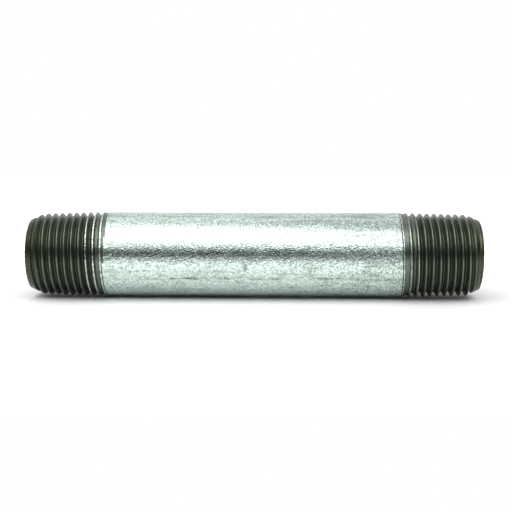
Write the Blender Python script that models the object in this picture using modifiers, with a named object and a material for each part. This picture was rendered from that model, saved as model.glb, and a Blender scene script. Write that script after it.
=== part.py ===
"""Galvanised steel pipe nipple, 1/2 inch NPT by 4 1/2 inches long, lying on its side.

The pipe's axis is X, +Z is up, and the origin is on the axis, midway between the two end faces.
The nipple is one length of steel pipe with a taper thread cut into each end, so it has three pieces:
the pipe itself, the zinc that is left on its outside, and the zinc that lines its bore.
The dies that cut the threads cut through the outer zinc too, so both are cut by the same two cutters.
"""

import math

import bmesh
import bpy
from mathutils import Matrix, Vector

INCH = 0.0254
LENGTH = 4.5 * INCH
STEEL_OUTER_R = 0.840 * INCH / 2  # schedule 40
STEEL_BORE_R = 0.622 * INCH / 2
ZINC = 0.00008  # hot-dip coating of about 0.55 kg/m2
BOND_GAP = 0.00002  # keeps each coating's mesh clear of the steel's
ZINC_INNER_R = STEEL_OUTER_R + BOND_GAP
ZINC_OUTER_R = ZINC_INNER_R + ZINC
LINING_OUTER_R = STEEL_BORE_R - BOND_GAP
LINING_INNER_R = LINING_OUTER_R - ZINC

# The American taper pipe thread of ASME B1.20.1, 1/2 inch. Stations are distances from an end face.
PITCH = INCH / 14
TAPER = 1 / 32  # rise of the radius for each unit of length
PITCH_R_AT_END = 0.75843 * INCH / 2
SHARP_HEIGHT = PITCH * math.sqrt(3) / 2  # of the 60 degree V before its tips are cut off
CREST_CUT = 0.096 * PITCH
ROOT_CUT = 0.065 * PITCH
CREST_R_AT_END = PITCH_R_AT_END + SHARP_HEIGHT / 2 - CREST_CUT
ROOT_R_AT_END = PITCH_R_AT_END - SHARP_HEIGHT / 2 + ROOT_CUT
FLANK = math.tan(math.radians(30))
ROOT_HALF_WIDTH = ROOT_CUT * FLANK
FULL_ROOT_LENGTH = 0.605 * INCH  # roots are at full depth up to here
THREAD_LENGTH = 0.7815 * INCH  # and their floors have risen to the steel's surface here
COAT_START = 0.0150  # the first zinc left on the crests, where the die starts to miss it

REAM = 0.0003  # the bore's edge is cut back by this much, at 45 degrees
END_FACE_R = 0.00885
CHAMFER = math.tan(math.radians(25))
CHAMFER_LENGTH = (CREST_R_AT_END - END_FACE_R) / (CHAMFER - TAPER)

SIDES = 24  # facets round the pipe, with the middle of one at the bottom, wide enough not to roll on a gentle slope
HALF_FACET = math.pi / SIDES
MERGE = 0.00001
PROUD = 0.00003  # how far the cutters' flanks go on past the surface that they cut

# The angle about +X, from +Y towards +Z, at which each groove crosses its end face.
RIGHT_START = math.radians(-20.2)
LEFT_START = math.radians(28.4)


def clear_scene():
    for thing in list(bpy.data.objects):
        bpy.data.objects.remove(thing, do_unlink=True)


def collection(name):
    made = bpy.data.collections.new(name)
    bpy.context.scene.collection.children.link(made)
    return made


def metal(name, colour, roughness):
    made = bpy.data.materials.new(name)
    made.use_nodes = True
    shader = made.node_tree.nodes["Principled BSDF"]
    shader.inputs["Base Color"].default_value = (*colour, 1)
    shader.inputs["Metallic"].default_value = 1
    shader.inputs["Roughness"].default_value = roughness
    return made


def crest_radius(station):
    """The radius that the die leaves its crests at, a distance in from the end face."""
    return CREST_R_AT_END + TAPER * station


def root_radius(station):
    """The bottom of a full-depth groove, which its flanks are laid out from."""
    return ROOT_R_AT_END + TAPER * station


def floor_radius(station):
    """The groove's floor: its full depth, then rising to the pipe's surface along the die's lead-in."""
    full = root_radius(min(station, FULL_ROOT_LENGTH))
    rise = (STEEL_OUTER_R - full) / (THREAD_LENGTH - FULL_ROOT_LENGTH)
    return full + max(0, station - FULL_ROOT_LENGTH) * rise


def on_corner(x, radius, angle):
    """A corner of a ring whose facets have their middles at the true radius. Angles are about +X from +Y."""
    reach = radius / math.cos(HALF_FACET)
    return Vector((x, reach * math.cos(angle), reach * math.sin(angle)))


def both_ends(half):
    """A closed outline from the half of it at +X, given as (distance in from the end face, radius)."""
    right = [(LENGTH / 2 - station, radius) for station, radius in half]
    left = [(-x, radius) for x, radius in reversed(right)]
    return right + left


def turned(name, half, material, parts):
    """A ring turned about X, by a Screw modifier on its closed outline."""
    mesh = bpy.data.meshes.new(name)
    corners = [on_corner(x, radius, HALF_FACET) for x, radius in both_ends(half)]
    edges = [(i, (i + 1) % len(corners)) for i in range(len(corners))]
    mesh.from_pydata(corners, edges, [])
    mesh.materials.append(material)
    ring = bpy.data.objects.new(name, mesh)
    parts.objects.link(ring)
    screw = ring.modifiers.new("turn", "SCREW")
    screw.axis = "X"
    screw.steps = screw.render_steps = SIDES
    screw.use_merge_vertices = True
    screw.merge_threshold = MERGE
    screw.use_smooth_shade = False
    return ring


def groove_section(station, angle):
    """The groove's section at +X: floor, flanks up to just past the surface, then straight out."""
    root = root_radius(station)
    floor = floor_radius(station)
    shoulder = min(crest_radius(station), ZINC_OUTER_R) + PROUD
    floor_half_width = ROOT_HALF_WIDTH + (floor - root) * FLANK
    half_width = ROOT_HALF_WIDTH + (shoulder - root) * FLANK
    side = [(-floor_half_width, floor), (-half_width, shoulder), (-half_width, shoulder + PITCH / 4)]
    shape = side + [(-offset, radius) for offset, radius in reversed(side)]
    x = LENGTH / 2 - station
    return [on_corner(x + offset, radius, angle) for offset, radius in shape]


def groove_cutter(name, start_angle, cutters):
    """A right-hand helical groove for the +X end, as a loft, because its section changes along it."""
    bm = bmesh.new()
    steps_before = SIDES // 2
    steps_after = math.floor(THREAD_LENGTH / PITCH * SIDES)
    last = None
    for step in range(-steps_before, steps_after + 1):
        turn = step / SIDES
        ring = [bm.verts.new(point) for point in groove_section(turn * PITCH, start_angle - 2 * math.pi * turn)]
        if last is None:
            bm.faces.new(ring)
        else:
            for i in range(len(ring)):
                j = (i + 1) % len(ring)
                bm.faces.new((last[i], last[j], ring[j], ring[i]))
        last = ring
    bm.faces.new(reversed(last))
    bmesh.ops.recalc_face_normals(bm, faces=bm.faces)
    mesh = bpy.data.meshes.new(name)
    bm.to_mesh(mesh)
    bm.free()
    cutter = bpy.data.objects.new(name, mesh)
    cutter.hide_render = True
    cutter.display_type = "WIRE"
    cutters.objects.link(cutter)
    return cutter


def cut(target, cutter):
    boolean = target.modifiers.new(cutter.name, "BOOLEAN")
    boolean.operation = "DIFFERENCE"
    boolean.solver = "EXACT"
    boolean.object = cutter


def steel_pipe(parts):
    """The tube before its threads are cut: bore, end face, chamfer, tapered crests, plain barrel."""
    crest_end = (STEEL_OUTER_R - CREST_R_AT_END) / TAPER
    half = [
        (REAM, STEEL_BORE_R),
        (0, STEEL_BORE_R + REAM),
        (0, END_FACE_R),
        (CHAMFER_LENGTH, crest_radius(CHAMFER_LENGTH)),
        (crest_end, STEEL_OUTER_R),
    ]
    return turned("steel_pipe", half, metal("bare_steel", (0.16, 0.16, 0.14), 0.4), parts)


def outer_zinc_coat(parts):
    """The coating left on the barrel, and along the flat crests of each thread's last turns."""
    full_from = (ZINC_OUTER_R - CREST_R_AT_END) / TAPER
    half = [
        (COAT_START, ZINC_INNER_R),
        (COAT_START, crest_radius(COAT_START)),
        (full_from, ZINC_OUTER_R),
    ]
    return turned("outer_zinc_coat", half, metal("zinc", (0.72, 0.75, 0.74), 0.35), parts)


def bore_zinc_coat(parts):
    """The coating inside the bore, which starts where the reamed edge stops."""
    half = [(REAM, LINING_INNER_R), (REAM, LINING_OUTER_R)]
    return turned("bore_zinc_coat", half, metal("zinc_lining", (0.62, 0.65, 0.64), 0.5), parts)


def main():
    clear_scene()
    parts = collection("pipe_nipple")
    cutters = collection("cutters")
    right_groove = groove_cutter("right_groove", RIGHT_START, cutters)
    left_groove = groove_cutter("left_groove", LEFT_START, cutters)
    # A half turn about Z takes the right-hand thread to the other end. A mirror would make it left-hand.
    left_groove.matrix_world = Matrix.Rotation(math.pi, 4, "Z")
    for coated in (steel_pipe(parts), outer_zinc_coat(parts)):
        cut(coated, right_groove)
        cut(coated, left_groove)
    bore_zinc_coat(parts)


main()
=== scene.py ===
"""The looks of a galvanised steel pipe nipple, 1/2 inch NPT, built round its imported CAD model.

Lengths are in metres in the CAD's frame: the pipe's axis is X, +Z is up and the front is -Y. The origin is
on the axis, midway between the end faces. Stations are distances in from an end face, and angles go about
+X from +Y towards +Z, so the front is at 180 degrees. Each end is made as the +X end. The -X end is then
turned half a turn about Z, because a mirror would make its thread left-hand.
"""

import math

import bpy
import numpy as np
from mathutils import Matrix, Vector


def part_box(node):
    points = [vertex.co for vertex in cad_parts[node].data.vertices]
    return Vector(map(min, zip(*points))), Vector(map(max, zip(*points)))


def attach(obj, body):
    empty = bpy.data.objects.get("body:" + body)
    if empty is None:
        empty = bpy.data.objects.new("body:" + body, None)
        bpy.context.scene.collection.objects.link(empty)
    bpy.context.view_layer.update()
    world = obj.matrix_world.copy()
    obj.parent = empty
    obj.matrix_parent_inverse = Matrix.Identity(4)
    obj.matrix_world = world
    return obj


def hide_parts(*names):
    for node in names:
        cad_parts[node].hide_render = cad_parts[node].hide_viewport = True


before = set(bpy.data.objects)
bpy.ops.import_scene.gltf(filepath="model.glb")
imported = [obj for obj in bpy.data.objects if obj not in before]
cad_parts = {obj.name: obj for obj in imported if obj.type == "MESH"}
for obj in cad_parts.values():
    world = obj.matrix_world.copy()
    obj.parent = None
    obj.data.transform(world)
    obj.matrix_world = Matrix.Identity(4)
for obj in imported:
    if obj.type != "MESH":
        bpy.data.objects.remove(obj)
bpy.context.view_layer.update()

MM = 0.001
TURN = 2 * math.pi
HALF_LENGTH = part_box("steel_pipe")[1].x
STEEL_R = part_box("steel_pipe")[1].z
COAT_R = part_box("outer_zinc_coat")[1].z
LINING_HALF_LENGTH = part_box("bore_zinc_coat")[1].x

# The thread form is the CAD's: ASME B1.20.1, 1/2-14 NPT.
PITCH = 25.4 / 14 * MM
TAPER = 1 / 32
CREST_R = 10.243 * MM  # of the crest cone at the end face
ROOT_R = 8.964 * MM
ROOT_HALF_WIDTH = 0.068 * MM
FLANK = math.tan(math.radians(30))
FULL_ROOT_STATION = 15.367 * MM
THREAD_STATION = 19.85 * MM
END_FACE_R = 8.85 * MM
FACE_MIDDLE_R = 8.55 * MM
CHAMFER = math.tan(math.radians(25))
BORE_R = 7.9 * MM
REAM = 0.3 * MM
LINING_OUTER_R = 7.88 * MM
LINING_INNER_R = 7.8 * MM
COAT_INNER_R = STEEL_R + 0.02 * MM
COAT_MEAN_R = COAT_R - 0.03 * MM
BARREL_STATION = 20.6 * MM  # where each end's mesh stops and the barrel's starts
TAIL_STATION = 15.0 * MM  # where the zinc left on the crests starts
LAST_GROOVE = 20.12 * MM  # a groove with its middle past here only scratches the zinc
SCRATCH_DEPTH = 0.05 * MM
SCRATCH_MARK = 3.0  # the "thin" value on a scratch, well over the 0 to 1 of the zinc beside it
CHAMFER_MARK = 2.0  # the "depth" value on the end chamfers, over the 0 to 1 of the thread
PROUD_CREST = 0.05 * MM  # how far that zinc stands above the die's crest cone
THINNEST = 0.004 * MM
ROUNDING = 0.03 * MM  # softness of the thread's edges
STARTS = {"right": math.radians(-20.2), "left": math.radians(28.4)}
NICKS = {  # in each end's rim: where in degrees, how wide in degrees and how deep in millimetres
    "left": (
        (190, 1.6, 0.16),
        (196, 1.2, 0.26),
        (204, 1.8, 0.14),
        (211, 1.3, 0.3),
        (221, 2.2, 0.2),
        (228, 1.5, 0.34),
        (236, 2.2, 0.16),
        (150, 2.5, 0.08),
        (66, 3.0, 0.14),
        (322, 2.4, 0.12),
    ),
    "right": (
        (232, 1.6, 0.42),
        (226, 1.4, 0.16),
        (239, 1.5, 0.28),
        (175, 2.0, 0.07),
        (95, 2.5, 0.1),
        (20, 3.0, 0.16),
    ),
}

# Marks on the barrel. Those that end in UP are angles in degrees up from the front.
SEAM_UP = -25.4
FAINT_LINE_UP = 70.2
STREAK_UP = 59.3
SCAB_UP = -9.3
SCAB_X = -2.1 * MM
SCAB_HALF_WIDTH = 1.15 * MM  # round the pipe
SCAB_HALF_LENGTH = 0.65 * MM
BUMPS = (  # angle in degrees; X, half width, half length and height in millimetres
    (188.6, -2.3, 0.9, 0.6, 0.035),  # the scab
    (188.6, -2.2, 0.45, 0.3, -0.03),  # the hollow in it
    (173.3, -37.4, 0.4, 0.32, 0.07),  # a burr where the left thread runs out
)
SMALL_LUMPS = 70

COLUMNS = 180  # mesh columns round the pipe
BARREL_ROWS = 132
SLIVER = 0.02 * MM  # rows nearer than this to a ring are merged into it
THREAD_SIDE = (  # one side of a groove: which stretch of the profile, and how far along it
    ("root", 0.8),
    ("flank", 0.1),
    ("flank", 0.5),
    ("flank", 0.9),
    ("crest", 0.3),
)
COAT_SIDE = (("root", 0.0), ("flank", 0.45), ("flank", 1.0), ("crest", 0.3), ("crest", 0.7))
ANGLES = np.arange(COLUMNS) * TURN / COLUMNS
SHARP_EDGE = math.radians(50)
LINING_COLUMNS = 96
LINING_RINGS = 49
WELD_BEAD_ANGLE = 74  # in degrees

SOFTBOX_RADIANCE = 2.6
SOFTBOX_SIZE = (1.7, 1.05)
SOFTBOX_PLACE = (-0.1, -0.475, 0.6)
BLACK_CARD_HEIGHT = 0.59
BLACK_CARD_OUTLINE = ((-0.05, 0.06), (0.04, -0.02), (0.3, -0.3), (0.3, 0.15), (-0.05, 0.15))
ROOM_RADIANCE = 0.05
FLOOR_DROP = 0.2 * MM  # how far the floor lies below the pipe
FLOOR_NEAR = -0.1
FLOOR_FAR = 0.42
FLOOR_HALF_WIDTH = 0.8
BACKDROP_HALF_WIDTH = 1.2
BACKDROPS = (("backdrop_low", 0, 0.46, 1.0), ("backdrop_high", 0.52, 1.7, 1.3))  # low, high, strength

CAMERA_DISTANCE = 0.261
CAMERA_AZIMUTH = math.radians(1.45)
CAMERA_ELEVATION = math.radians(9)
LENS = 71.39
SENSOR_WIDTH = 36
SHIFT = (0.00375, -0.0033)


def soft_min(a, b, soft=ROUNDING):
    """The lesser of two arrays, rounded off where they cross."""
    return np.minimum(a, b) - soft * np.log1p(np.exp(-np.abs(a - b) / soft))


def soft_max(a, b, soft=ROUNDING):
    return -soft_min(-a, -b, soft)


def ripple(angle, along, seed, waves, across, length):
    """Smooth noise of about unit size that closes round the pipe: across is its most waves in a turn,
    and length its shortest wavelength along the pipe."""
    rng = np.random.default_rng(seed)
    total = np.zeros(np.broadcast(angle, along).shape)
    for _ in range(waves):
        turns = rng.integers(-across, across + 1)
        rate = rng.uniform(-1, 1) * TURN / length
        total = total + np.cos(turns * angle + rate * along + rng.uniform(0, TURN))
    return total * math.sqrt(2 / waves)


def root_radius(station):
    """The bottom of a full-depth groove, which its flanks are laid out from."""
    return ROOT_R + TAPER * station


def floor_radius(station):
    """The groove's floor: its full depth, then rising to the pipe's surface along the die's lead-in."""
    full = root_radius(np.minimum(station, FULL_ROOT_STATION))
    rise = (STEEL_R - root_radius(FULL_ROOT_STATION)) / (THREAD_STATION - FULL_ROOT_STATION)
    return full + np.maximum(0, station - FULL_ROOT_STATION) * rise


def crest_radius(station):
    return CREST_R + TAPER * station


def groove_radius(middle, offset):
    """The radius of a groove's sides and floor, at an offset from its middle's station."""
    sides = root_radius(middle) + (np.abs(offset) - ROOT_HALF_WIDTH) / FLANK
    return soft_max(sides, floor_radius(middle + offset))


class Builder:
    """Gathers vertices and faces, and makes the mesh object."""

    def __init__(self):
        self.points = []
        self.values = []
        self.count = 0
        self.faces = []

    def add(self, points, values=0.0):
        """Adds an array of points, with a value for each. Returns their indices in the array's shape."""
        shape = points.shape[:-1]
        self.points.append(points.reshape(-1, 3))
        self.values.append(np.broadcast_to(values, shape).reshape(-1))
        first = self.count
        self.count += len(self.points[-1])
        return np.arange(first, self.count).reshape(shape)

    def face(self, *corners):
        """Adds a face, or a smaller one or none where its corners are merged."""
        kept = [int(corner) for i, corner in enumerate(corners) if corner != corners[i - 1]]
        if len(set(kept)) >= 3:
            self.faces.append(kept)

    def bridge(self, ring_a, ring_b):
        """Faces between two closed rings, which face out where ring_b is the one at greater X."""
        for i in range(len(ring_a)):
            j = (i + 1) % len(ring_a)
            self.face(ring_a[i], ring_a[j], ring_b[j], ring_b[i])

    def finish(self, name, material, node, attribute=None):
        points = np.concatenate(self.points)
        used = np.unique(np.concatenate(self.faces))
        new_index = np.zeros(len(points), dtype=int)
        new_index[used] = np.arange(len(used))
        mesh = bpy.data.meshes.new(name)
        mesh.from_pydata(points[used].tolist(), [], [new_index[face].tolist() for face in self.faces])
        if attribute:
            made = mesh.attributes.new(attribute, "FLOAT", "POINT")
            made.data.foreach_set("value", np.concatenate(self.values)[used].astype(np.float32))
        mesh.materials.append(material)
        mesh.shade_smooth()
        mesh.set_sharp_from_angle(angle=SHARP_EDGE)
        piece = bpy.data.objects.new(name, mesh)
        bpy.context.scene.collection.objects.link(piece)
        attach(piece, "root")
        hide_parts(node)
        return piece


def world_place(station, angle, end):
    """X and the angle in the pipe's frame, from an end's own station and angle."""
    x = HALF_LENGTH - station
    if end == "left":
        return -x, math.pi - angle
    return x, angle


def place(station, angle, radius, end):
    x, angle = world_place(station, angle, end)
    return np.stack(np.broadcast_arrays(x, radius * np.cos(angle), radius * np.sin(angle)), axis=-1)


def in_pipe_order(ring, end):
    """An end's ring of vertices in the order of the pipe's own angles."""
    if end == "left":
        return ring[(COLUMNS // 2 - np.arange(COLUMNS)) % COLUMNS]
    return ring


def groove_stations(end):
    """Stations of each groove's middle: one row for each angle, one column for each turn."""
    turns = np.arange(-2, math.ceil(BARREL_STATION / PITCH) + 3)
    phase = STARTS[end] / TURN
    return PITCH * (turns[None, :] + phase - ANGLES[:, None] / TURN)


def row_offsets(half_groove, side):
    """Offsets of a pitch's mesh rows from the groove's middle, from one crest's middle to just short of
    the next. half_groove is the groove's half width where it meets the crests."""
    nothing = 0 * half_groove
    stretches = {
        "root": (nothing, nothing + ROOT_HALF_WIDTH),
        "flank": (nothing + ROOT_HALF_WIDTH, half_groove),
        "crest": (half_groove, nothing + PITCH / 2),
    }
    rows = []
    for stretch, share in side:
        low, high = stretches[stretch]
        rows.append(low + share * (high - low))
    before = [-row for row in reversed(rows)]
    if side[0] != ("root", 0.0):
        before.append(nothing)
    else:
        before.pop()
    return np.stack([nothing - PITCH / 2] + before + rows, axis=-1)


def next_column(index, per_pitch, low_ring):
    """The grid's next column for each column. Once round the pipe it has moved on by a pitch of rows."""
    following = np.roll(index, -1, axis=0)
    following[-1, per_pitch:] = index[0, :-per_pitch]
    following[-1, :per_pitch] = low_ring[0]
    return following


def grid_faces(builder, index, per_pitch, low_ring, keep=None):
    following = next_column(index, per_pitch, low_ring)
    sides = (index[:, :-1], index[:, 1:], following[:, 1:], following[:, :-1])
    corners = np.stack(sides, axis=-1).reshape(-1, 4)
    if keep is not None:
        corners = corners[keep[corners].all(axis=1)]
    for quad in corners:
        builder.face(*quad)


def nicks(end):
    """How far the end face's outer edge is broken back, for each of the end's own angles."""
    _, around = world_place(0, ANGLES, end)
    depth = np.zeros(COLUMNS)
    for middle, width, deep in NICKS[end]:
        away = (np.degrees(around) - middle + 180) % 360 - 180
        depth = np.maximum(depth, deep * MM * np.exp(-((away / width) ** 2)))
    return depth + 0.012 * MM * (1 + ripple(ANGLES, 0, 5, 12, 60, 1))


def steel_end(builder, end):
    """One threaded end, from the bore's reamed edge to the barrel's first ring. Returns both rings."""
    middles = groove_stations(end)
    edge_r = np.minimum(crest_radius(middles), STEEL_R)
    offsets = row_offsets(ROOT_HALF_WIDTH + (edge_r - root_radius(middles)) * FLANK, THREAD_SIDE)
    per_pitch = offsets.shape[-1]
    stations = (middles[..., None] + offsets).reshape(COLUMNS, -1)
    groove = groove_radius(middles[..., None], offsets).reshape(COLUMNS, -1)
    angle = ANGLES[:, None]
    seed = 40 if end == "left" else 60
    tear = 0.014 * MM * np.maximum(0, ripple(angle, stations, seed, 40, 50, 1.2 * MM))
    wander = 0.006 * MM * ripple(angle, stations, seed + 1, 24, 24, 2 * MM)
    radius = soft_min(groove + wander, crest_radius(stations) - tear)
    radius = soft_min(radius, STEEL_R)
    radius = soft_min(radius, END_FACE_R + CHAMFER * np.maximum(0, stations) - tear, 0.03 * MM)
    depth = (crest_radius(stations) - radius) / (crest_radius(stations) - root_radius(stations))
    on_chamfer = radius > END_FACE_R + CHAMFER * stations - 0.05 * MM
    depth = np.where(on_chamfer, CHAMFER_MARK, depth)
    bite = nicks(end)
    edge = builder.add(place(bite, ANGLES, END_FACE_R + 0.3 * CHAMFER * bite, end), 0.4)
    barrel = builder.add(place(BARREL_STATION, ANGLES, STEEL_R, end))
    index = builder.add(place(stations, angle, radius, end), depth)
    index = np.where(stations < bite[:, None] + SLIVER, edge[:, None], index)
    index = np.where(stations > BARREL_STATION - SLIVER, barrel[:, None], index)
    grid_faces(builder, index, per_pitch, edge)
    rings = [edge]
    for station, ring_radius in (
        (0, END_FACE_R - 0.04 * MM - 0.9 * bite),
        (0, FACE_MIDDLE_R),
        (0, BORE_R + REAM),
        (REAM, BORE_R),
    ):
        rings.append(builder.add(place(station, ANGLES, ring_radius + 0 * ANGLES, end), 0.5))
    rings = [in_pipe_order(ring, end) for ring in rings]
    for outer, inner in zip(rings, rings[1:]):
        if end == "right":
            builder.bridge(outer, inner)
        else:
            builder.bridge(inner, outer)
    return rings[-1], in_pipe_order(barrel, end)


def blob(angle, x, middle, at, wide, long, height):
    """A low round bump at an angle in degrees and an X, wide round the pipe and long along it."""
    around = ((angle - math.radians(middle) + math.pi) % TURN - math.pi) * COAT_R
    return height * np.exp(-((around / wide) ** 2 + ((x - at) / long) ** 2))


def coat_radius(x, angle):
    """The zinc's surface: gentle runs along the pipe, small lumps, drips, a scab and a burr."""
    radius = COAT_MEAN_R + 0.005 * MM * ripple(angle, x, 11, 30, 7, 16 * MM)
    radius = radius + 0.0035 * MM * ripple(angle, x, 12, 60, 26, 3.2 * MM)
    drips = ripple(angle, x, 13, 50, 22, 4.5 * MM)
    front_right = np.exp(-(((angle - math.radians(164)) * COAT_R / (2.6 * MM)) ** 2))
    front_right = front_right / (1 + np.exp(-(x - 24 * MM) / (3 * MM)))
    radius = radius + 0.012 * MM * drips * front_right
    for middle, at, wide, long, height in BUMPS:
        radius = radius + blob(angle, x, middle, at * MM, wide * MM, long * MM, height * MM)
    rng = np.random.default_rng(14)
    for _ in range(SMALL_LUMPS):
        at = rng.uniform(-36, 36) * MM
        wide = rng.uniform(0.35, 0.9) * MM
        height = rng.uniform(-0.012, 0.016) * MM
        middle = rng.uniform(0, 360)
        long = wide * rng.uniform(0.8, 2.2)
        radius = radius + blob(angle, x, middle, at, wide, long, height)
    return np.minimum(radius, COAT_R + 0.03 * MM)


def coat_end(outer, end):
    """The zinc left on one end's last crests, added to the coat's builder, with the skin's inside and
    the edges between. Returns its two rings at the barrel, the outer and the inner."""
    middles = groove_stations(end)
    edge_r = np.minimum(crest_radius(middles) + PROUD_CREST, COAT_MEAN_R)
    half = ROOT_HALF_WIDTH + (edge_r - root_radius(middles)) * FLANK
    rag = 0.03 * MM * ripple(ANGLES[:, None], middles, 80 if end == "left" else 90, 40, 55, 9 * MM)
    if end == "right":
        rag = rag + np.clip(0.09 * MM + 0.04 * (18 * MM - middles), 0.05 * MM, 0.14 * MM)
    half = np.minimum(half + rag, PITCH / 2 - 0.04 * MM)
    offsets = row_offsets(half, COAT_SIDE)
    per_pitch = offsets.shape[-1]
    stations = (middles[..., None] + offsets).reshape(COLUMNS, -1)
    let_go = np.repeat(middles > LAST_GROOVE, per_pitch, axis=1)
    groove = groove_radius(middles[..., None], offsets).reshape(COLUMNS, -1)
    groove = np.where(let_go, COAT_R + PITCH, groove)
    angle = np.broadcast_to(ANGLES[:, None], stations.shape)
    x, around = world_place(stations, angle, end)
    full = coat_radius(x, around)
    radius = soft_min(full, crest_radius(stations) + PROUD_CREST, 0.01 * MM)
    radius = np.maximum(np.minimum(radius, groove + 0.03 * MM), COAT_INNER_R + THINNEST)
    thin = np.clip((full - radius) / (full - COAT_INNER_R), 0, 1)
    near_edge = (np.abs(offsets + half[..., None]) < SLIVER).reshape(COLUMNS, -1)
    scratch = let_go & near_edge
    radius = np.where(scratch, radius - SCRATCH_DEPTH, radius)
    thin = np.where(scratch, SCRATCH_MARK, thin)
    ring_x, ring_angle = world_place(BARREL_STATION, ANGLES, end)
    ring_r = coat_radius(ring_x, ring_angle)
    ring = outer.add(place(BARREL_STATION, ANGLES, ring_r, end))
    ring_in = outer.add(place(BARREL_STATION, ANGLES, COAT_INNER_R + 0 * ANGLES, end))
    index = outer.add(place(stations, angle, radius, end), thin)
    index_in = outer.add(place(stations, angle, COAT_INNER_R, end), thin)
    is_crest = np.abs(offsets) > half[..., None] - SLIVER
    closed = (floor_radius(stations) > COAT_INNER_R + THINNEST) | let_go
    exists = (is_crest.reshape(COLUMNS, -1) | closed) & (stations > TAIL_STATION)
    past = stations > BARREL_STATION - SLIVER
    keep = np.zeros(outer.count, dtype=bool)
    keep[index] = exists
    keep[ring] = True
    inner_of = np.zeros(outer.count, dtype=int)
    inner_of[index] = index_in
    inner_of[ring] = ring_in
    index = np.where(past, ring[:, None], index)
    first = len(outer.faces)
    grid_faces(outer, index, per_pitch, index[:, 0], keep)
    tail = outer.faces[first:]
    directed = {(face[i - 1], face[i]) for face in tail for i in range(len(face))}
    ring_set = set(ring.tolist())
    for face in tail:
        outer.face(*[inner_of[corner] for corner in reversed(face)])
    for a, b in sorted(directed):
        on_ring = a in ring_set and b in ring_set
        if (b, a) not in directed and not on_ring:
            outer.face(b, a, inner_of[a], inner_of[b])
    return in_pipe_order(ring, end), in_pipe_order(ring_in, end)


def steel_pipe(material):
    builder = Builder()
    left_bore, left_barrel = steel_end(builder, "left")
    right_bore, right_barrel = steel_end(builder, "right")
    builder.bridge(left_barrel, right_barrel)
    builder.bridge(right_bore, left_bore)
    return builder.finish("threaded_steel_pipe", material, "steel_pipe", "depth")


def outer_coat(material):
    builder = Builder()
    left_out, left_in = coat_end(builder, "left")
    right_out, right_in = coat_end(builder, "right")
    rings = [left_out]
    reach = HALF_LENGTH - BARREL_STATION
    for x in np.linspace(-reach, reach, BARREL_ROWS)[1:-1]:
        rings.append(builder.add(place(HALF_LENGTH - x, ANGLES, coat_radius(x, ANGLES), "right")))
    rings.append(right_out)
    for low, high in zip(rings, rings[1:]):
        builder.bridge(low, high)
    builder.bridge(right_in, left_in)
    return builder.finish("zinc_coat_outside", material, "outer_zinc_coat", "thin")


def bore_coat(material):
    """The lining, with the low bead that the weld leaves along the bore."""
    builder = Builder()
    angles = np.arange(LINING_COLUMNS) * TURN / LINING_COLUMNS
    rings = []
    for x in np.linspace(-LINING_HALF_LENGTH, LINING_HALF_LENGTH, LINING_RINGS):
        bead = blob(angles, x, WELD_BEAD_ANGLE, x, 0.8 * MM, 1, 0.1 * MM)
        bead = bead * (1 + 0.3 * ripple(0, x, 31, 8, 1, 6 * MM))
        radius = LINING_INNER_R - bead - 0.008 * MM * (1 + ripple(angles, x, 32, 30, 9, 6 * MM))
        rings.append(builder.add(place(HALF_LENGTH - x, angles, radius, "right")))
    outside = []
    for x in (-LINING_HALF_LENGTH, LINING_HALF_LENGTH):
        outside.append(builder.add(place(HALF_LENGTH - x, angles, LINING_OUTER_R + 0 * angles, "right")))
    for low, high in zip(rings, rings[1:]):
        builder.bridge(high, low)
    builder.bridge(outside[0], outside[1])
    builder.bridge(rings[0], outside[0])
    builder.bridge(outside[1], rings[-1])
    return builder.finish("zinc_coat_in_bore", material, "bore_zinc_coat")


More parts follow.
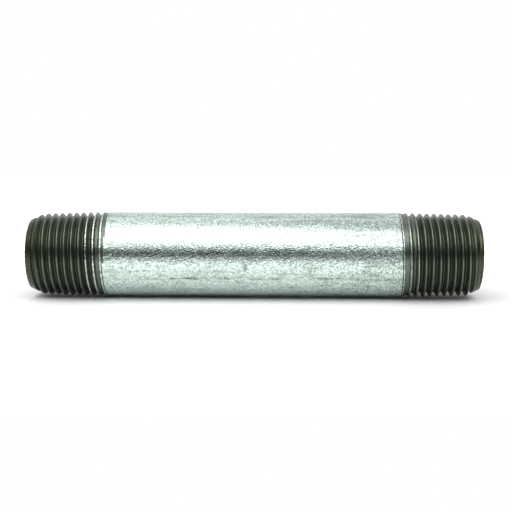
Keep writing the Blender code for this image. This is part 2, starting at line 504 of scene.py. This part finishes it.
class Graph:
    """A material's nodes, made by short calls that each return an output socket."""

    def __init__(self, name):
        self.material = bpy.data.materials.new(name)
        self.material.use_nodes = True
        self.nodes = self.material.node_tree.nodes
        self.links = self.material.node_tree.links
        self.shader = self.nodes["Principled BSDF"]
        coordinates = self.nodes.new("ShaderNodeTexCoord")
        parts = self.nodes.new("ShaderNodeSeparateXYZ")
        self.links.new(coordinates.outputs["Object"], parts.inputs[0])
        self.x, self.y, self.z = (self.math("MULTIPLY", axis, 1 / MM) for axis in parts.outputs)

    def put(self, socket, value):
        if isinstance(value, bpy.types.NodeSocket):
            self.links.new(value, socket)
        else:
            socket.default_value = value

    def math(self, operation, *values):
        node = self.nodes.new("ShaderNodeMath")
        node.operation = operation
        for socket, value in zip(node.inputs, values):
            self.put(socket, value)
        return node.outputs[0]

    def total(self, *terms):
        """The sum of (value, weight) pairs."""
        made = 0.0
        for value, weight in terms:
            made = self.math("MULTIPLY_ADD", value, weight, made)
        return made

    def ramp(self, value, low, high, start=0.0, end=1.0):
        """A smooth step from start, at low, to end, at high."""
        node = self.nodes.new("ShaderNodeMapRange")
        node.interpolation_type = "SMOOTHSTEP"
        names = ("Value", "From Min", "From Max", "To Min", "To Max")
        for name, setting in zip(names, (value, low, high, start, end)):
            self.put(node.inputs[name], setting)
        return node.outputs["Result"]

    def mix(self, factor, colour_a, colour_b):
        node = self.nodes.new("ShaderNodeMix")
        node.data_type = "RGBA"
        self.put(node.inputs["Factor"], factor)
        for name, colour in (("A", colour_a), ("B", colour_b)):
            socket = [entry for entry in node.inputs if entry.name == name and entry.type == "RGBA"][0]
            self.put(socket, colour if isinstance(colour, bpy.types.NodeSocket) else (*colour, 1))
        return [entry for entry in node.outputs if entry.type == "RGBA"][0]

    def noise(self, size, stretch=1.0, detail=3.0, roughness=0.55, shift=0.0):
        """Noise with features of about size in millimetres, and stretch times as long along the pipe."""
        spot = self.nodes.new("ShaderNodeCombineXYZ")
        self.put(spot.inputs[0], self.math("MULTIPLY_ADD", self.x, 1 / stretch, shift))
        self.put(spot.inputs[1], self.y)
        self.put(spot.inputs[2], self.z)
        node = self.nodes.new("ShaderNodeTexNoise")
        self.links.new(spot.outputs[0], node.inputs["Vector"])
        self.put(node.inputs["Scale"], 1 / size)
        self.put(node.inputs["Detail"], detail)
        self.put(node.inputs["Roughness"], roughness)
        return node.outputs["Fac"]

    def attribute(self, name):
        node = self.nodes.new("ShaderNodeAttribute")
        node.attribute_name = name
        return node.outputs["Fac"]

    def front_angle(self):
        """The angle up from the front, in radians."""
        return self.math("ARCTAN2", self.z, self.math("MULTIPLY", self.y, -1.0))

    def line_along(self, degrees, width, radius):
        """1 on a line along the pipe, so many degrees up from the front, falling to 0 at width in
        millimetres."""
        away = self.math("SUBTRACT", self.front_angle(), math.radians(degrees))
        away = self.math("MULTIPLY", self.math("ABSOLUTE", away), radius / MM)
        return self.ramp(away, 0.0, width, 1.0, 0.0)

    def bump(self, height, scale_um):
        """Relief from a height of 0 to 1, which stands for scale_um micrometres."""
        node = self.nodes.new("ShaderNodeBump")
        self.put(node.inputs["Strength"], 1.0)
        self.put(node.inputs["Distance"], scale_um * 1e-6)
        self.put(node.inputs["Height"], height)
        self.links.new(node.outputs["Normal"], self.shader.inputs["Normal"])

    def surface(self, colour, roughness, metallic=1.0):
        self.put(self.shader.inputs["Base Color"], colour)
        self.put(self.shader.inputs["Roughness"], roughness)
        self.put(self.shader.inputs["Metallic"], metallic)
        return self.material


def zinc_material():
    """Hot-dip zinc: pale and slightly green, with dull mottling, fine dark specks, a few lines along it
    and a scab. Its colour is darker towards the right, which is painted shade."""
    g = Graph("galvanised_zinc")
    mottle = g.noise(3.2, 2.5, 5, 0.6)
    runs = g.noise(0.9, 14, 4, 0.6, 40)
    specks = g.noise(0.75, 1.3, 3, 0.65, 90)
    dull = g.ramp(g.total((mottle, 0.55), (runs, 0.45)), 0.46, 0.66)
    # Painted shade: the two ramps below darken the zinc's colour towards the right, through more dullness,
    # stronger flecks and more darkness. The second ramp also deepens the relief there.
    right_painted_shade = g.ramp(g.x, -6.0, 34.0)
    right_painted_shade_and_relief = g.ramp(g.x, 6.0, 34.0)
    # Painted shade: the dull mottling is made stronger towards the right.
    dull = g.math("MULTIPLY", dull, g.math("MULTIPLY_ADD", right_painted_shade, 0.7, 0.75))
    dull = g.math("MINIMUM", 1.0, dull)
    colour = g.mix(dull, (0.70, 0.84, 0.78), (0.46, 0.565, 0.52))
    dashes = g.ramp(g.noise(1.6, 2.5, 2, 0.5, 10), 0.42, 0.6)
    ragged = g.math("MULTIPLY", dashes, g.ramp(g.noise(0.3, 1.6, 2, 0.6, 33), 0.36, 0.5))
    seam = g.math("MULTIPLY", g.line_along(SEAM_UP, 0.85, COAT_R), ragged)
    faint = g.math("MULTIPLY", g.line_along(FAINT_LINE_UP, 0.35, COAT_R), g.math("MULTIPLY", dashes, 0.7))
    streak = g.math("MULTIPLY", g.line_along(STREAK_UP, 0.3, COAT_R), g.ramp(g.x, 9.0, 12.0))
    streak = g.math("MULTIPLY", streak, g.math("MULTIPLY", g.ramp(g.x, 17.0, 20.0, 1.0, 0.0), 0.6))
    flecks = g.ramp(g.noise(0.34, 1.1, 2, 0.6, 55), 0.5, 0.61)
    # Painted shade: the flecks grow stronger towards the right.
    flecks = g.math("MULTIPLY", flecks, g.math("MULTIPLY_ADD", right_painted_shade_and_relief, 0.15, 0.65))
    dark = g.math("MAXIMUM", g.ramp(specks, 0.48, 0.7, 0.0, 0.6), g.math("MAXIMUM", seam, faint))
    dark = g.math("MAXIMUM", g.math("MAXIMUM", dark, streak), flecks)
    # Painted shade: a little more darkness towards the right.
    dark = g.math("MULTIPLY_ADD", right_painted_shade_and_relief, 0.05, dark)
    across = g.math("SUBTRACT", g.front_angle(), math.radians(SCAB_UP))
    across = g.math("MULTIPLY", across, COAT_R / SCAB_HALF_WIDTH)
    along = g.math("SUBTRACT", g.x, SCAB_X / MM)
    along = g.math("MULTIPLY", along, MM / SCAB_HALF_LENGTH)
    scab = g.math("ADD", g.math("MULTIPLY", across, across), g.math("MULTIPLY", along, along))
    scab = g.math("SQRT", scab)
    right_rim = g.ramp(g.math("SUBTRACT", scab, along), 0.3, 1.4, 0.75, 0.3)
    scab = g.math("MULTIPLY", g.ramp(scab, 0.95, 1.1, 1.0, 0.0), right_rim)
    dark = g.math("MAXIMUM", dark, scab)
    thin = g.ramp(g.attribute("thin"), 0.25, 0.95, 0.0, 0.45)
    scratch = g.ramp(g.attribute("thin"), 1.0, 1.6, 0.0, 0.9)
    colour = g.mix(g.math("MAXIMUM", g.math("MAXIMUM", dark, thin), scratch), colour, (0.14, 0.16, 0.14))
    colour = g.mix(scratch, colour, (0.03, 0.03, 0.025))
    roughness = g.total((dull, 0.1), (g.noise(0.6, 2, 3, 0.6, 70), 0.16), (dark, 0.12))
    roughness = g.math("ADD", roughness, 0.08)
    grain = g.noise(0.34, 1.2, 2, 0.6, 20)
    swell = g.noise(1.7, 1.4, 3, 0.5, 60)
    relief = g.total((grain, 1.0), (swell, 0.8), (dark, -0.15))
    relief = g.math("MULTIPLY", relief, g.math("MULTIPLY_ADD", right_painted_shade_and_relief, 0.25, 1.0))
    g.bump(relief, 74)
    return g.surface(colour, roughness)


def steel_material():
    """Bare cut steel under a film of cutting oil: near black, olive in the valleys, with a painted
    highlight that brightens the crests in patches, and darker on the end chamfers."""
    g = Graph("cut_steel")
    depth = g.attribute("depth")
    grime = g.noise(0.7, 1, 4, 0.6)
    valley = g.ramp(depth, 0.35, 0.9)
    colour = g.mix(valley, (0.135, 0.155, 0.13), (0.12, 0.135, 0.09))
    crest = g.ramp(depth, 0.02, 0.1, 1.0, 0.0)
    # Painted highlight: the crests' colour is brightened, in patches.
    crest_painted_highlight = g.math("MULTIPLY", crest, g.ramp(g.noise(0.8, 1, 3, 0.6, 30), 0.3, 0.6, 0.35, 1.0))
    colour = g.mix(crest_painted_highlight, colour, (0.15, 0.17, 0.15))
    # Darker in patches of grime and on the end chamfers.
    grime_and_dark_chamfers = g.math("MAXIMUM", g.ramp(grime, 0.5, 0.75, 0.0, 0.5), g.ramp(depth, 1.3, 1.9, 0.0, 0.75))
    colour = g.mix(grime_and_dark_chamfers, colour, (0.035, 0.04, 0.03))
    roughness = g.total((grime, 0.24), (valley, 0.05))
    roughness = g.math("ADD", roughness, 0.2)
    tool_lines = g.noise(0.09, 1, 2, 0.5, 50)
    relief = g.total((tool_lines, 0.35), (g.noise(0.35, 1, 4, 0.6, 15), 0.65))
    g.bump(relief, 22)
    return g.surface(colour, roughness)


def lining_material():
    """The bore's zinc, which the dip left dull."""
    g = Graph("dull_zinc")
    mottle = g.noise(1.8, 3, 4, 0.6)
    colour = g.mix(g.ramp(mottle, 0.35, 0.7), (0.60, 0.66, 0.62), (0.34, 0.38, 0.35))
    g.bump(g.total((g.noise(0.8, 2.5, 4, 0.6, 12), 1.0)), 30)
    return g.surface(colour, g.math("MULTIPLY_ADD", mottle, 0.3, 0.3))


def glow(name, colour, strength):
    made = bpy.data.materials.new(name)
    made.use_nodes = True
    shader = made.node_tree.nodes["Principled BSDF"]
    shader.inputs["Base Color"].default_value = (0, 0, 0, 1)
    shader.inputs["Roughness"].default_value = 1
    shader.inputs["Specular IOR Level"].default_value = 0
    shader.inputs["Emission Color"].default_value = (*colour, 1)
    shader.inputs["Emission Strength"].default_value = strength
    return made


def card(name, corners, material):
    """A flat stage card from its four corners."""
    mesh = bpy.data.meshes.new(name)
    mesh.from_pydata(corners, [], [range(len(corners))])
    mesh.materials.append(material)
    made = bpy.data.objects.new(name, mesh)
    bpy.context.scene.collection.objects.link(made)
    return made


def floor_material():
    """Plain white, a little brighter by itself further from the pipe, where the softbox reaches less."""
    g = Graph("white_floor")
    away = g.math("ABSOLUTE", g.y)
    g.put(g.shader.inputs["Emission Color"], (1, 1, 1, 1))
    g.put(g.shader.inputs["Emission Strength"], g.ramp(away, 7.0, 50.0, 0.0, 0.5))
    return g.surface((0.9, 0.9, 0.9, 1), 0.9, 0.0)


def stage():
    """The white floor with the softbox over it, a white backdrop in two panels behind the pipe, and a
    black card below part of the softbox, which darkens a strip of what the barrel reflects."""
    bottom = -COAT_R - FLOOR_DROP
    right = FLOOR_HALF_WIDTH
    corners = [(-right, FLOOR_NEAR), (right, FLOOR_NEAR), (right, FLOOR_FAR), (-right, FLOOR_FAR)]
    card("floor", [(x, y, bottom) for x, y in corners], floor_material())
    right = BACKDROP_HALF_WIDTH
    for name, low, high, strength in BACKDROPS:
        corners = [(-right, low), (right, low), (right, high), (-right, high)]
        corners = [(x, FLOOR_FAR, bottom + height) for x, height in corners]
        card(name, corners, glow(name, (1, 1, 1), strength))
    corners = [(x, y, BLACK_CARD_HEIGHT) for x, y in BLACK_CARD_OUTLINE]
    card("flag", corners, glow("black_cloth", (0, 0, 0), 0))
    softbox = bpy.data.lights.new("softbox", "AREA")
    softbox.shape = "RECTANGLE"
    softbox.size, softbox.size_y = SOFTBOX_SIZE
    softbox.energy = SOFTBOX_RADIANCE * math.pi * softbox.size * softbox.size_y
    lamp = bpy.data.objects.new("softbox", softbox)
    lamp.location = SOFTBOX_PLACE
    bpy.context.scene.collection.objects.link(lamp)
    world = bpy.data.worlds.new("room")
    bpy.context.scene.world = world
    world.use_nodes = True
    nodes, links = world.node_tree.nodes, world.node_tree.links
    room = nodes["Background"]
    room.inputs["Color"].default_value = (0.95, 1.0, 1.0, 1)
    room.inputs["Strength"].default_value = ROOM_RADIANCE
    white = nodes.new("ShaderNodeBackground")
    white.inputs["Color"].default_value = (1, 1, 1, 1)
    white.inputs["Strength"].default_value = 1.0
    path = nodes.new("ShaderNodeLightPath")
    mix = nodes.new("ShaderNodeMixShader")
    links.new(path.outputs["Is Camera Ray"], mix.inputs[0])
    links.new(room.outputs[0], mix.inputs[1])
    links.new(white.outputs[0], mix.inputs[2])
    links.new(mix.outputs[0], nodes["World Output"].inputs[0])


def camera():
    data = bpy.data.cameras.new("camera")
    data.lens = LENS
    data.sensor_width = SENSOR_WIDTH
    data.shift_x, data.shift_y = SHIFT
    data.clip_start = 0.01
    made = bpy.data.objects.new("camera", data)
    level = CAMERA_DISTANCE * math.cos(CAMERA_ELEVATION)
    x = level * math.sin(CAMERA_AZIMUTH)
    y = -level * math.cos(CAMERA_AZIMUTH)
    made.location = (x, y, CAMERA_DISTANCE * math.sin(CAMERA_ELEVATION))
    made.rotation_euler = (-made.location).to_track_quat("-Z", "Y").to_euler()
    bpy.context.scene.collection.objects.link(made)
    bpy.context.scene.camera = made


steel_pipe(steel_material())
outer_coat(zinc_material())
bore_coat(lining_material())
stage()
camera()
bpy.context.scene.view_settings.view_transform = "Standard"
